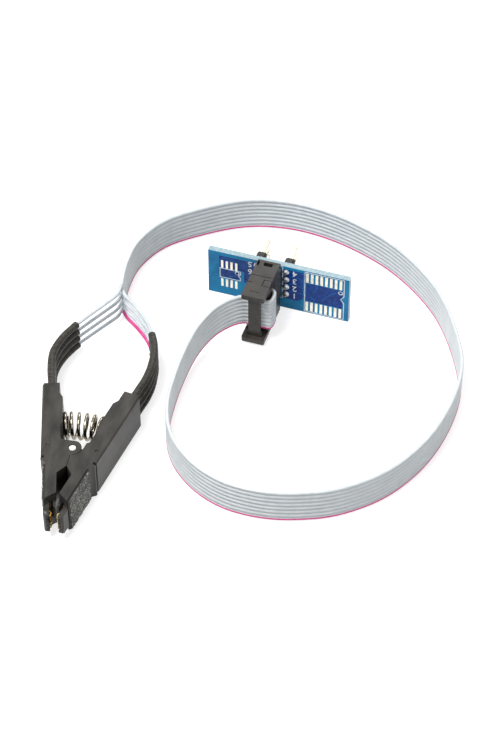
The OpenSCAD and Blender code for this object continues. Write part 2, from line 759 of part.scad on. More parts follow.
// A cone of solder round one pin, open in the middle for the pin.
module solder(dir) {
  rotate([dir * 90, 0, 0]) difference() {
    cylinder(r1 = 0.95, r2 = 0.5, h = 0.7, $fn = 24);
    translate([-pin_w / 2 - eps, -pin_w / 2 - eps, -1]) cube([pin_w + 2 * eps, pin_w + 2 * eps, 3]);
  }
}

module solder_joints() {
  color([0.75, 0.76, 0.78]) at_plug() {
    at_strips() translate([0, -0.01, 0]) solder(1);
    at_pins() translate([0, board_t + 0.01, 0]) solder(-1);
  }
}

left_lever();
right_lever();
left_grip_pad();
right_grip_pad();
left_contacts();
right_contacts();
left_tail_pins();
right_tail_pins();
pivot_pin();
jaw_spring();
left_sleeves();
right_sleeves();
left_leads();
right_leads();
ribbon_cable();
socket_body();
socket_cover();
strain_relief();
socket_contacts();
adapter_board();
wide_chip_pads();
narrow_chip_pads();
header_base();
header_pins();
strip_left();
strip_right();
strip_pins_left();
strip_pins_right();
solder_joints();
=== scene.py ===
import math

import bmesh
import bpy
from mathutils import Matrix, Vector


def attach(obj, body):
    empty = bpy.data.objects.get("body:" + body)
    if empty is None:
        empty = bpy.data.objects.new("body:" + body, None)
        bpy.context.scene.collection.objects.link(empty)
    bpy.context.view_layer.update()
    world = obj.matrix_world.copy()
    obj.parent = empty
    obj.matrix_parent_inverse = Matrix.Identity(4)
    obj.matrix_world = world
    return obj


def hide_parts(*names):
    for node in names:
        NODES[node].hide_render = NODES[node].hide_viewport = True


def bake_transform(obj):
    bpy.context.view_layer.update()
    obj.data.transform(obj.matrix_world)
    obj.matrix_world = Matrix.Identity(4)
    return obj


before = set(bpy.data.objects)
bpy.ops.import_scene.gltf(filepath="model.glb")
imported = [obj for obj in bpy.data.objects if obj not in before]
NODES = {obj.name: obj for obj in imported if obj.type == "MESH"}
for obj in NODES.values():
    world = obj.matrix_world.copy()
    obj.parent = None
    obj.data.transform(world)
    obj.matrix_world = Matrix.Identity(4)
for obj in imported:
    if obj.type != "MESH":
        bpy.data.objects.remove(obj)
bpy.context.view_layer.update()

# ---------------------------------------------------------------- sizes, in millimetres

CLIP_MID = 0.230011       # how far the pivot lies in front of the frame's origin
CLIP_T = 10.4             # the clip's thickness, which stands upright
MID_Z = CLIP_T / 2
LEVER_ANGLE = 13.0        # degrees that each lever leans outwards
HANDLE_LEN = 21.6         # from the pivot to the handle's end
HANDLE_IN = 2.5           # from a lever's own line to its inner face
POCKET_DEEP = 4.6         # the pocket in the handle's end
POCKET_N = 5.4            # from a lever's own line to the tail pins
TAIL_PITCH = 2.3          # between tail pins
SLEEVE_D = 1.9
LEAD_GAP = 0.2            # between a sleeve's end and the wire's first free point
WIRE_D = 0.9
WIRES = 8
WIRE_PITCH = 1.27
CABLE_W = (WIRES - 1) * WIRE_PITCH + WIRE_D
CABLE_Z = CABLE_W / 2 + 0.05
RIBBON_WEB = 0.42         # the flat cable's thickness between two wires
CURVE_STEPS = 6           # points on each curve between two points of its route
SPRING_D, SPRING_WIRE, SPRING_TURNS = 7.0, 0.8, 6
SPRING_AT = 12.0          # along the handle, from the pivot
CLOSING = 0.12            # share of the coil over which each of its ends closes
PLUG_X, PLUG_Y, PLUG_YAW = 37.7, 67.3, 7.9        # the board's middle from the pivot, and its turn
BOARD_T = 1.6
GROUP_X, GROUP_MID = -1.8, 8.6                    # the middle of the pins, along and up the board
PIN_PITCH = 2.54
STRIP_GAP = 7.62          # between the two pin strips
SOCKET_HALF = 8.0         # half of the socket's length
# the width and thickness of the painted shade strips along the socket's seams
GAP_SHADE_W, GAP_SHADE_T = 0.16, 0.03
FLAT_TURN, EASED_TURN, SHARP_TURN = 0.6, 35, 50   # degrees between two faces
LEAST_EDGE = 1.2          # the shortest edge that is eased
EASED_STEPS = 2
BARE_T = 0.012            # the fields of bare board under the lacquer
TRACK_W, TRACK_T = 0.3, 0.02
PRINT_W, PRINT_T = 0.24, 0.03
NUMBER_H, NUMBER_T = 2.5, 0.012
NUMBER_SWELL = 0.03       # how much bolder the numbers are than the plain letters
VIA_R, VIA_RIM = 0.26, 0.09


def turned(x, y, angle):
    """A flat point turned clockwise by an angle in degrees."""
    c, s = math.cos(math.radians(angle)), math.sin(math.radians(angle))
    return x * c + y * s, y * c - x * s


def clip_point(x, y, z):
    """A point given from the pivot, in the frame."""
    return Vector((x, y - CLIP_MID, z)) / 1000


def plug_point(x, y, z):
    """A point given along, behind and above the board, in the frame."""
    px, py = turned(x, y, PLUG_YAW)
    return clip_point(px + PLUG_X, py + PLUG_Y, z)


def plug_matrix():
    """The place and turn of the board."""
    turn = Matrix.Rotation(-math.radians(PLUG_YAW), 4, "Z")
    return Matrix.Translation(clip_point(PLUG_X, PLUG_Y, 0)) @ turn


def lever_matrix(side):
    """The place and turn of a lever, whose own x is outwards and own y towards the handle's end."""
    turn = Matrix.Rotation(-math.radians(LEVER_ANGLE), 4, "Z")
    if side > 0:
        return Matrix.Translation(clip_point(0, 0, 0)) @ turn
    return Matrix.Translation(clip_point(0, 0, CLIP_T)) @ Matrix.Rotation(math.pi, 4, "Y") @ turn


def smooth(points, k=CURVE_STEPS):
    """A Catmull-Rom curve through the points, with k steps between neighbours."""
    last = len(points) - 1
    out = []
    for i in range(last):
        a, b = points[max(i - 1, 0)], points[i]
        c, d = points[i + 1], points[min(i + 2, last)]
        for j in range(k):
            t = j / k
            out.append(0.5 * (2 * b + (c - a) * t + (2 * a - 5 * b + 4 * c - d) * t * t
                              + (3 * b - a - 3 * c + d) * t ** 3))
    return out + [points[last].copy()]


# ---------------------------------------------------------------- camera, lamps, floor

def aim(obj, place, target):
    """Sets a camera or lamp down at a place, looking at a target."""
    obj.location = place
    obj.rotation_euler = (Vector(target) - Vector(place)).to_track_quat("-Z", "Y").to_euler()


def add_camera():
    """A long lens, looking down at the clip and a little from its right."""
    data = bpy.data.cameras.new("camera")
    data.lens = 105.6
    data.clip_start = 0.01
    data.clip_end = 20
    camera = bpy.data.objects.new("camera", data)
    bpy.context.scene.collection.objects.link(camera)
    target = Vector((0.03516, 0.04103, 0.0))
    turn, rise, away = math.radians(10.4), math.radians(45.5), 0.552
    way = Vector((math.cos(rise) * math.sin(turn), -math.cos(rise) * math.cos(turn), math.sin(rise)))
    aim(camera, target + away * way, target)
    bpy.context.scene.camera = camera


def add_lamp(name, place, target, size, watts):
    """A round soft lamp."""
    data = bpy.data.lights.new(name, "AREA")
    data.shape = "DISK"
    data.size = size
    data.energy = watts
    lamp = bpy.data.objects.new(name, data)
    bpy.context.scene.collection.objects.link(lamp)
    aim(lamp, place, target)


def put(tree, kind, settings=None, **inputs):
    """Adds a node. An input that is a socket is linked; any other value is set."""
    node = tree.nodes.new(kind)
    for key, value in (settings or {}).items():
        setattr(node, key, value)
    for key, value in inputs.items():
        name = key.replace("_", " ")
        socket = node.inputs[int(key[1:])] if key[0] == "n" and key[1:].isdigit() else node.inputs[name]
        if isinstance(value, bpy.types.NodeSocket):
            tree.links.new(value, socket)
        else:
            socket.default_value = value
    return node


def maths(tree, operation, a, b=0.0, c=0.0):
    """The result of a sum in a tree."""
    return put(tree, "ShaderNodeMath", {"operation": operation}, n0=a, n1=b, n2=c).outputs[0]


def seen_rays(tree):
    """1 for camera, glossy and transmitted rays, and 0 for the rays that light the object."""
    path = put(tree, "ShaderNodeLightPath").outputs
    shown = maths(tree, "MAXIMUM", path["Is Camera Ray"], path["Is Glossy Ray"])
    return maths(tree, "MAXIMUM", shown, path["Is Transmission Ray"])


def add_world():
    """A dim sky that lights the object, and white for the rays that see it."""
    world = bpy.data.worlds.new("studio")
    world.use_nodes = True
    tree = world.node_tree
    tree.nodes.clear()
    light = put(tree, "ShaderNodeBackground", Color=(0.97, 0.98, 1.0, 1), Strength=0.28)
    shown = put(tree, "ShaderNodeBackground", Color=(1, 1, 1, 1), Strength=1.0)
    mix = put(tree, "ShaderNodeMixShader", Fac=seen_rays(tree), n1=light.outputs[0], n2=shown.outputs[0])
    out = put(tree, "ShaderNodeOutputWorld")
    tree.links.new(mix.outputs[0], out.inputs["Surface"])
    bpy.context.scene.world = world


def add_floor():
    """A pale floor that takes shadows and fades to white away from the object."""
    mesh = bpy.data.meshes.new("floor")
    mesh.from_pydata([(-3, -3, 0), (3, -3, 0), (3, 3, 0), (-3, 3, 0)], [], [(0, 1, 2, 3)])
    floor = bpy.data.objects.new("floor", mesh)
    floor.location = (0, 0, -0.0002)
    bpy.context.scene.collection.objects.link(floor)
    paint = bpy.data.materials.new("floor_white")
    paint.use_nodes = True
    tree = paint.node_tree
    tree.nodes.clear()
    matte = put(tree, "ShaderNodeBsdfDiffuse", Color=(0.5, 0.5, 0.5, 1))
    spot = put(tree, "ShaderNodeTexCoord").outputs["Object"]
    away = put(tree, "ShaderNodeVectorMath", {"operation": "LENGTH"}, n0=spot).outputs["Value"]
    level = put(tree, "ShaderNodeMapRange", n0=away, n1=0.16, n2=0.5, n3=0.7, n4=1.0).outputs[0]
    lift = maths(tree, "MULTIPLY", seen_rays(tree), level)
    glow = put(tree, "ShaderNodeEmission", Color=(1, 1, 1, 1), Strength=lift)
    both = put(tree, "ShaderNodeAddShader", n0=matte.outputs[0], n1=glow.outputs[0])
    out = put(tree, "ShaderNodeOutputMaterial")
    tree.links.new(both.outputs[0], out.inputs["Surface"])
    mesh.materials.append(paint)


bpy.context.scene.view_settings.view_transform = "Standard"
add_camera()
add_world()
add_floor()
add_lamp("key_lamp", (-0.24, -0.14, 0.8), (0.03, 0.04, 0), 0.45, 9.0)
add_lamp("fill_lamp", (0.65, -0.45, 0.45), (0.03, 0.04, 0), 0.6, 2.0)
add_lamp("back_lamp", (0.1, 0.75, 0.5), (0.03, 0.04, 0), 0.4, 2.2)

# ---------------------------------------------------------------- finishes


def hexed(r, g, b):
    """A colour given as seen, from 0 to 255, in the renderer's own light scale."""
    def one(v):
        v /= 255
        return v / 12.92 if v <= 0.04045 else ((v + 0.055) / 1.055) ** 2.4
    return one(r), one(g), one(b), 1.0


def new_finish(name, colour, rough, metal=0.0, shine=0.5):
    """A material with its plain values, its tree and its shader."""
    paint = bpy.data.materials.new(name)
    paint.use_nodes = True
    tree = paint.node_tree
    shader = tree.nodes["Principled BSDF"]
    shader.inputs["Base Color"].default_value = colour
    shader.inputs["Roughness"].default_value = rough
    shader.inputs["Metallic"].default_value = metal
    shader.inputs["Specular IOR Level"].default_value = shine
    return paint, tree, shader


def place_of(tree, scale=(1, 1, 1)):
    """The place in the object, stretched along its axes."""
    coord = put(tree, "ShaderNodeTexCoord")
    return put(tree, "ShaderNodeMapping", Vector=coord.outputs["Object"], Scale=scale).outputs[0]


def cloud(tree, place, per_mm, detail=3.0, rough=0.55):
    """Noise with the given number of specks in a millimetre."""
    return put(tree, "ShaderNodeTexNoise", Vector=place, Scale=per_mm * 1000, Detail=detail,
               Roughness=rough).outputs["Fac"]


def graded(tree, fac, *stops):
    """A colour that runs through the stops."""
    node = put(tree, "ShaderNodeValToRGB", Fac=fac)
    ramp = node.color_ramp
    while len(ramp.elements) < len(stops):
        ramp.elements.new(0.5)
    for element, (at, colour) in zip(ramp.elements, stops):
        element.position = at
        element.color = colour
    return node.outputs["Color"]


def mixed(tree, share, first, second):
    """A mix of two colours."""
    return put(tree, "ShaderNodeMix", {"data_type": "RGBA"}, n0=share, n6=first, n7=second).outputs[2]


def span(tree, value, low, high, to_low, to_high):
    """A value carried from one range to another."""
    node = put(tree, "ShaderNodeMapRange", n0=value, n1=low, n2=high, n3=to_low, n4=to_high)
    return node.outputs[0]


def raised(tree, shader, height, depth_mm, strength):
    """Fine relief on a finish."""
    bump = put(tree, "ShaderNodeBump", Height=height, Strength=strength, Distance=depth_mm / 1000)
    tree.links.new(bump.outputs[0], shader.inputs["Normal"])


def moulded_plastic(name, dark, light, rough, grain=5.0, depth=0.02):
    """Moulded plastic with a spark-eroded grain, faint flow marks and a slightly uneven gloss."""
    paint, tree, shader = new_finish(name, dark, rough, 0.0, 0.28)
    place = place_of(tree)
    flow = cloud(tree, place_of(tree, (1.0, 0.35, 1.0)), 0.35, 4.0)
    fine = cloud(tree, place, grain, 2.0)
    tone = maths(tree, "MULTIPLY_ADD", fine, 0.45, flow)
    colour = graded(tree, tone, (0.5, dark), (0.95, light))
    tree.links.new(colour, shader.inputs["Base Color"])
    tree.links.new(span(tree, flow, 0.3, 0.7, rough - 0.07, rough + 0.08), shader.inputs["Roughness"])
    raised(tree, shader, fine, depth, 0.6)
    return paint


def metal(name, dark, light, rough, scratches=(1, 1, 1), depth=0.006):
    """Plated or drawn metal with fine scratches and a little tarnish."""
    paint, tree, shader = new_finish(name, light, rough, 1.0)
    tarnish = cloud(tree, place_of(tree), 0.9, 4.0)
    lines = cloud(tree, place_of(tree, scratches), 3.0, 3.0)
    tree.links.new(graded(tree, tarnish, (0.3, dark), (0.62, light)), shader.inputs["Base Color"])
    tree.links.new(span(tree, lines, 0.3, 0.7, rough * 0.7, rough * 1.5), shader.inputs["Roughness"])
    raised(tree, shader, lines, depth, 0.5)
    return paint


CLIP_PLASTIC = moulded_plastic("clip_nylon", hexed(27, 26, 24), hexed(62, 59, 55), 0.38)
GRIP_PLASTIC = moulded_plastic("grip_nylon", hexed(18, 18, 17), hexed(44, 44, 42), 0.5, 3.0, 0.05)
GRAIN_PLASTIC = moulded_plastic("grip_grain_nylon", hexed(46, 46, 43), hexed(176, 176, 168), 0.36, 2.2, 0.05)
SOCKET_PLASTIC = moulded_plastic("socket_polyester", hexed(30, 28, 26), hexed(62, 58, 54), 0.36, 6.0)
PIN_PLASTIC = moulded_plastic("pin_strip_plastic", hexed(20, 20, 20), hexed(40, 39, 38), 0.38, 6.0)
GOLD = metal("gold_plating", hexed(214, 164, 66), hexed(250, 214, 130), 0.22)
PIN_METAL = metal("pin_plating", hexed(124, 119, 98), hexed(196, 189, 168), 0.24, (1, 0.1, 1))
STEEL = metal("spring_steel", hexed(96, 88, 72), hexed(168, 160, 144), 0.16)
PIN_STEEL = metal("ground_pin_steel", hexed(206, 204, 198), hexed(240, 239, 236), 0.34)
SOLDER = metal("solder", hexed(118, 120, 124), hexed(196, 198, 202), 0.38)
PAD_METAL = metal("tinned_pad", hexed(214, 206, 184), hexed(240, 236, 222), 0.42)


def sleeve_finish():
    """Shrunk sleeve: matt black with fine creases across it."""
    paint, tree, shader = new_finish("shrunk_sleeve", hexed(44, 42, 36), 0.5, 0.0, 0.35)
    creases = cloud(tree, place_of(tree, (0.6, 1.6, 0.6)), 1.1, 5.0, 0.6)
    colour = graded(tree, creases, (0.35, hexed(22, 21, 18)), (0.68, hexed(56, 53, 43)))
    tree.links.new(colour, shader.inputs["Base Color"])
    tree.links.new(span(tree, creases, 0.3, 0.7, 0.62, 0.42), shader.inputs["Roughness"])
    raised(tree, shader, creases, 0.09, 0.7)
    return paint


def cable_finish(name, colour, shade):
    """Soft wire insulation: a grey with a faint bloom and a slightly uneven gloss."""
    paint, tree, shader = new_finish(name, colour, 0.4)
    bloom = cloud(tree, place_of(tree), 0.5, 4.0)
    tree.links.new(graded(tree, bloom, (0.3, shade), (0.65, colour)), shader.inputs["Base Color"])
    tree.links.new(span(tree, bloom, 0.3, 0.7, 0.34, 0.5), shader.inputs["Roughness"])
    raised(tree, shader, cloud(tree, place_of(tree), 4.0, 2.0), 0.01, 0.4)
    return paint


def ribbon_finish():
    """Flat cable: grey insulation with painted shade in the grooves between the wires, and one pink edge
    wire.
    """
    paint, tree, shader = new_finish("flat_cable", hexed(196, 203, 208), 0.4)
    height = put(tree, "ShaderNodeAttribute", {"attribute_name": "height"}).outputs["Fac"]
    run = put(tree, "ShaderNodeAttribute", {"attribute_name": "run"}).outputs["Fac"]
    wires = maths(tree, "MULTIPLY_ADD", height, 1000 / WIRE_PITCH, WIRES / 2)
    off = maths(tree, "ABSOLUTE", maths(tree, "SUBTRACT", maths(tree, "FRACT", wires), 0.5))
    # painted shade: the share of darker grey laid into the grooves between the wires, where shade falls
    painted_groove_shade = span(tree, off, 0.3, 0.5, 0.0, 1.0)
    bloom = cloud(tree, place_of(tree), 0.4, 4.0)
    grey = graded(tree, bloom, (0.3, hexed(198, 204, 206)), (0.65, hexed(210, 215, 217)))
    # painted shade: the grooves are mixed towards a darker grey
    ribs_with_painted_shade = mixed(tree, painted_groove_shade, grey, hexed(178, 184, 189))
    edge = maths(tree, "LESS_THAN", wires, 0.7)
    rubbed = cloud(tree, place_of(tree), 1.2, 3.0)
    pink = graded(tree, rubbed, (0.3, hexed(196, 44, 122)), (0.7, hexed(222, 84, 150)))
    tree.links.new(mixed(tree, edge, ribs_with_painted_shade, pink), shader.inputs["Base Color"])
    waver = put(tree, "ShaderNodeTexNoise", {"noise_dimensions": "1D"}, W=run, Scale=120.0, Detail=2.0)
    tree.links.new(span(tree, waver.outputs["Fac"], 0.3, 0.7, 0.36, 0.48), shader.inputs["Roughness"])
    raised(tree, shader, cloud(tree, place_of(tree), 3.0, 2.0), 0.01, 0.4)
    return paint


SLEEVE = sleeve_finish()
WIRE_GREY = cable_finish("wire_grey", hexed(200, 206, 210), hexed(184, 191, 197))
WIRE_PINK = cable_finish("wire_pink", hexed(222, 84, 150), hexed(196, 44, 122))
RIBBON = ribbon_finish()


def board_finish():
    """Circuit board: blue lacquer on both faces and pale laminate on the cut edges."""
    paint, tree, shader = new_finish("board_lacquer", hexed(24, 112, 170), 0.3, 0.0, 0.2)
    face = put(tree, "ShaderNodeNewGeometry").outputs["Normal"]
    out = plug_matrix().to_3x3() @ Vector((0, 1, 0))
    facing = put(tree, "ShaderNodeVectorMath", {"operation": "DOT_PRODUCT"}, n0=face, n1=tuple(out))
    on_face = maths(tree, "GREATER_THAN", maths(tree, "ABSOLUTE", facing.outputs["Value"]), 0.7)
    pool = cloud(tree, place_of(tree), 0.16, 3.0)
    blue = graded(tree, pool, (0.3, hexed(4, 104, 154)), (0.68, hexed(12, 134, 184)))
    fibre = cloud(tree, place_of(tree, (1.0, 1.0, 0.3)), 2.2, 3.0)
    cut = graded(tree, fibre, (0.3, hexed(122, 150, 158)), (0.7, hexed(166, 184, 190)))
    tree.links.new(mixed(tree, on_face, cut, blue), shader.inputs["Base Color"])
    tree.links.new(span(tree, pool, 0.3, 0.7, 0.24, 0.34), shader.inputs["Roughness"])
    raised(tree, shader, fibre, 0.02, 0.4)
    return paint


BOARD = board_finish()

for names, paint in (
    (("left_lever", "right_lever"), CLIP_PLASTIC),
    (("left_grip_pad", "right_grip_pad"), GRIP_PLASTIC),
    (("left_contacts", "right_contacts", "socket_contacts"), GOLD),
    (("left_tail_pins", "right_tail_pins", "header_pins", "strip_pins_left", "strip_pins_right"), PIN_METAL),
    (("pivot_pin",), PIN_STEEL),
    (("jaw_spring",), STEEL),
    (("left_sleeves", "right_sleeves"), SLEEVE),
    (("left_leads", "right_leads"), WIRE_GREY),
    (("ribbon_cable",), RIBBON),
    (("socket_body", "socket_cover", "strain_relief"), SOCKET_PLASTIC),
    (("adapter_board",), BOARD),
    (("wide_chip_pads", "narrow_chip_pads"), PAD_METAL),
    (("header_base", "strip_left", "strip_right"), PIN_PLASTIC),
    (("solder_joints",), SOLDER),
):
    for name in names:
        for place in NODES[name].material_slots:
            place.material = paint

# ---------------------------------------------------------------- moulded parts with eased edges


def eased(node, width, body, paint):
    """A copy of a moulded part whose longer outer edges are rounded off."""
    work = bmesh.new()
    work.from_mesh(NODES[node].data)
    bmesh.ops.remove_doubles(work, verts=work.verts, dist=2e-6)
    bmesh.ops.dissolve_limit(work, angle_limit=math.radians(FLAT_TURN), verts=work.verts, edges=work.edges)
    sharp = [e for e in work.edges if len(e.link_faces) == 2 and e.is_convex
             and e.calc_face_angle() > math.radians(EASED_TURN) and e.calc_length() > LEAST_EDGE / 1000]
    bmesh.ops.bevel(work, geom=sharp, offset=width / 1000, offset_type="OFFSET", segments=EASED_STEPS,
                    profile=0.5, affect="EDGES", clamp_overlap=True)
    bmesh.ops.recalc_face_normals(work, faces=work.faces)
    mesh = bpy.data.meshes.new(node + "_eased")
    work.to_mesh(mesh)
    work.free()
    mesh.materials.clear()
    mesh.materials.append(paint)
    for face in mesh.polygons:
        face.material_index = 0
    obj = bpy.data.objects.new(node + "_eased", mesh)
    bpy.context.scene.collection.objects.link(obj)
    mesh.shade_smooth()
    mesh.set_sharp_from_angle(angle=math.radians(SHARP_TURN))
    level = obj.modifiers.new("level_faces", "WEIGHTED_NORMAL")
    level.weight = 100
    level.keep_sharp = True
    bpy.context.view_layer.update()
    ready = obj.evaluated_get(bpy.context.evaluated_depsgraph_get())
    result = bpy.data.meshes.new_from_object(ready)
    obj.modifiers.clear()
    obj.data = result
    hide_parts(node)
    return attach(obj, body)


for node, width, body, slot, paint in (
    ("left_lever", 0.12, "left_half", "clip_plastic", CLIP_PLASTIC),
    ("right_lever", 0.12, "right_half", "clip_plastic", CLIP_PLASTIC),
    ("socket_body", 0.1, "left_half", "socket_plastic", SOCKET_PLASTIC),
    ("socket_cover", 0.1, "left_half", "socket_plastic", SOCKET_PLASTIC),
    ("strain_relief", 0.14, "left_half", "socket_plastic", SOCKET_PLASTIC),
    ("header_base", 0.08, "adapter", "pin_plastic", PIN_PLASTIC),
    ("strip_left", 0.08, "adapter", "pin_plastic", PIN_PLASTIC),
    ("strip_right", 0.08, "adapter", "pin_plastic", PIN_PLASTIC),
):
    eased(node, width, body, paint)

# ---------------------------------------------------------------- node trees for shapes


def new_tree(name, *sockets):
    """A geometry tree with a shape going in and out, and the named inputs."""
    tree = bpy.data.node_groups.new(name, "GeometryNodeTree")
    tree.interface.new_socket("Shape", in_out="INPUT", socket_type="NodeSocketGeometry")
    tree.interface.new_socket("Shape", in_out="OUTPUT", socket_type="NodeSocketGeometry")
    for label, kind, value in sockets:
        socket = tree.interface.new_socket(label, in_out="INPUT", socket_type="NodeSocket" + kind)
        if value is not None:
            socket.default_value = value
    return tree, tree.nodes.new("NodeGroupInput").outputs


def end_tree(tree, shape, paint):
    """The end of every tree: plain meshes, with their finish."""
    real = put(tree, "GeometryNodeRealizeInstances", Geometry=shape)
    painted = put(tree, "GeometryNodeSetMaterial", Geometry=real.outputs[0], Material=paint)
    tree.links.new(painted.outputs[0], tree.nodes.new("NodeGroupOutput").inputs[0])


def grown(name, mesh, tree, smooth_faces=True, **values):
    """Runs a tree on a mesh and returns a plain piece with the result."""
    seed = bpy.data.objects.new(name + "_seed", mesh)
    bpy.context.scene.collection.objects.link(seed)
    modifier = seed.modifiers.new("shape", "NODES")
    modifier.node_group = tree
    for item in tree.interface.items_tree:
        if item.in_out == "INPUT" and item.name.replace(" ", "_") in values:
            modifier[item.identifier] = values[item.name.replace(" ", "_")]
    bpy.context.view_layer.update()
    ready = seed.evaluated_get(bpy.context.evaluated_depsgraph_get())
    result = bpy.data.meshes.new_from_object(ready)
    bpy.data.objects.remove(seed)
    result.name = name
    return piece(name, result, smooth_faces)


def piece(name, mesh, smooth_faces=False):
    """Puts a mesh into the scene, its faces turned outwards."""
    work = bmesh.new()
    work.from_mesh(mesh)
    if work.calc_volume(signed=True) < 0:
        bmesh.ops.reverse_faces(work, faces=work.faces)
    work.to_mesh(mesh)
    work.free()
    if smooth_faces:
        mesh.shade_smooth()
    else:
        mesh.shade_flat()
    obj = bpy.data.objects.new(name, mesh)
    bpy.context.scene.collection.objects.link(obj)
    return obj


def line_mesh(points):
    """A mesh of one open line."""
    mesh = bpy.data.meshes.new("line")
    mesh.from_pydata([tuple(p) for p in points], [(i, i + 1) for i in range(len(points) - 1)], [])
    return mesh


def wire_tree():
    """A round wire or sleeve along a line, whose thickness can waver."""
    tree, given = new_tree("round_wire", ("Radius", "Float", 0.0005), ("Sides", "Int", 16),
                           ("Waver", "Float", 0.0), ("Waves per metre", "Float", 300.0),
                           ("Finish", "Material", None))
    line = put(tree, "GeometryNodeMeshToCurve", Mesh=given["Shape"])
    run = put(tree, "GeometryNodeSplineParameter").outputs["Length"]
    kept = put(tree, "GeometryNodeStoreNamedAttribute", {"domain": "POINT"}, Geometry=line.outputs[0],
               Name="run", Value=run)
    wave = put(tree, "ShaderNodeTexNoise", Vector=put(tree, "GeometryNodeInputPosition").outputs[0],
               Scale=given["Waves per metre"], Detail=1.0)
    swing = put(tree, "ShaderNodeMapRange", n0=wave.outputs["Fac"], n1=0.0, n2=1.0, n3=-1.0, n4=1.0)
    scale = maths(tree, "MULTIPLY_ADD", swing.outputs[0], given["Waver"], 1.0)
    ring = put(tree, "GeometryNodeCurvePrimitiveCircle", Resolution=given["Sides"], Radius=given["Radius"])
    tube = put(tree, "GeometryNodeCurveToMesh", Curve=kept.outputs[0], Profile_Curve=ring.outputs[0],
               Scale=scale, Fill_Caps=True)
    end_tree(tree, tube.outputs[0], given["Finish"])
    return tree


def ribbon_tree():
    """A flat cable along a line: round wires side by side, joined by thin webs."""
    tree, given = new_tree("ribbed_cable", ("Wires", "Int", 8), ("Pitch", "Float", 0.00127),
                           ("Wire radius", "Float", 0.00045), ("Web", "Float", 0.0003),
                           ("Steps", "Int", 96), ("Finish", "Material", None))
    line = put(tree, "GeometryNodeMeshToCurve", Mesh=given["Shape"])
    upright = put(tree, "GeometryNodeSetCurveNormal", {"mode": "Z_UP"}, Curve=line.outputs[0])
    run = put(tree, "GeometryNodeSplineParameter").outputs["Length"]
    kept = put(tree, "GeometryNodeStoreNamedAttribute", {"domain": "POINT"}, Geometry=upright.outputs[0],
               Name="run", Value=run)
    ring = put(tree, "GeometryNodeCurvePrimitiveCircle", Resolution=given["Steps"], Radius=1.0)
    round_it = put(tree, "GeometryNodeSplineParameter").outputs["Factor"]
    half = maths(tree, "MULTIPLY_ADD", given["Wires"], 0.5, -0.5)
    reach = maths(tree, "MULTIPLY_ADD", half, given["Pitch"], given["Wire radius"])
    fold = maths(tree, "PINGPONG", maths(tree, "MULTIPLY", round_it, 2.0), 1.0)
    height = maths(tree, "MULTIPLY", maths(tree, "MULTIPLY_ADD", fold, 2.0, -1.0), reach)
    face = maths(tree, "MULTIPLY_ADD", maths(tree, "LESS_THAN", round_it, 0.4999), 2.0, -1.0)
    number = maths(tree, "DIVIDE", height, given["Pitch"])
    number = maths(tree, "ADD", number, maths(tree, "MULTIPLY", given["Wires"], 0.5))
    off = maths(tree, "MULTIPLY", maths(tree, "SUBTRACT", maths(tree, "FRACT", number), 0.5), given["Pitch"])
    chord = maths(tree, "SUBTRACT", maths(tree, "MULTIPLY", given["Wire radius"], given["Wire radius"]),
                  maths(tree, "MULTIPLY", off, off))
    bulge = maths(tree, "SQRT", maths(tree, "MAXIMUM", chord, 0.0))
    thick = maths(tree, "MAXIMUM", bulge, maths(tree, "MULTIPLY", given["Web"], 0.5))
    across = maths(tree, "MULTIPLY", thick, face)
    spot = put(tree, "ShaderNodeCombineXYZ", X=across, Y=height)
    section = put(tree, "GeometryNodeSetPosition", Geometry=ring.outputs[0], Position=spot.outputs[0])
    side = put(tree, "ShaderNodeSeparateXYZ", Vector=put(tree, "GeometryNodeInputPosition").outputs[0])
    marked = put(tree, "GeometryNodeStoreNamedAttribute", {"domain": "POINT"}, Geometry=section.outputs[0],
                 Name="height", Value=maths(tree, "MULTIPLY", side.outputs["Y"], -1.0))
    swept = put(tree, "GeometryNodeCurveToMesh", Curve=kept.outputs[0], Profile_Curve=marked.outputs[0],
                Fill_Caps=True)
    end_tree(tree, swept.outputs[0], given["Finish"])
    return tree


WIRE_TREE = wire_tree()
RIBBON_TREE = ribbon_tree()

# ---------------------------------------------------------------- routes

LOOP_ROUTE = (
    (-1.3, 58), (-1.8, 66), (-0.6, 75), (4.5, 84), (14, 91), (24, 95.8), (34, 97.2), (44, 95.8),
    (54, 92), (64, 86), (73, 77.5), (80, 67.5), (85.5, 54), (87.6, 43), (86, 30), (81.5, 17.5),
    (74, 6.8), (64, -0.6), (54, -3.9), (45, -4.7), (36, -3), (28, 1.8), (22, 9), (19, 18), (18.6, 28),
)
CLIMB_ROUTE = ((19.4, 37, 0.5), (21, 44.5, 1.3), (23.8, 50.2, 2.4), (27.2, 53.6, 3.3))
PLUG_ROUTE = (
    (-5.2, -12.55), (-1.8, -12.55), (1.0, -12.55), (1.75, -12.25), (2.05, -11.45), (2.1, -10.325),
    (2.0, -9.2), (1.55, -8.4), (0.8, -8.1), (-1.8, -8.1), (-4.8, -8.1),
)
LEFT_SLEEVE_ROUTE = ((-12, 27), (-12.7, 32), (-11.6, 37.5), (-9.3, 42.5))
LEFT_WIRE_ROUTE = ((-6.4, 47), (-3.4, 51.5), (-1.6, 54.5))
RIGHT_SLEEVE_ROUTE = ((11.8, 27), (12.2, 32), (11.7, 37.5), (10, 42.5))
RIGHT_WIRE_ROUTE = ((7.6, 47), (4, 51.5), (0.6, 55))
CABLE_START = (-1.3, 58)
TAIL_END = turned(POCKET_N, HANDLE_LEN - POCKET_DEEP + 1, LEVER_ANGLE)
HANDLE_EXIT = turned(POCKET_N, HANDLE_LEN + 1.5, LEVER_ANGLE)


def tail_z(i):
    """The height of a tail pin, counted from below."""
    return MID_Z + (i - 1.5) * TAIL_PITCH


def wire_z(k):
    """The height of a wire in the flat cable, counted from below."""
    return CABLE_Z + (k - 3.5) * WIRE_PITCH


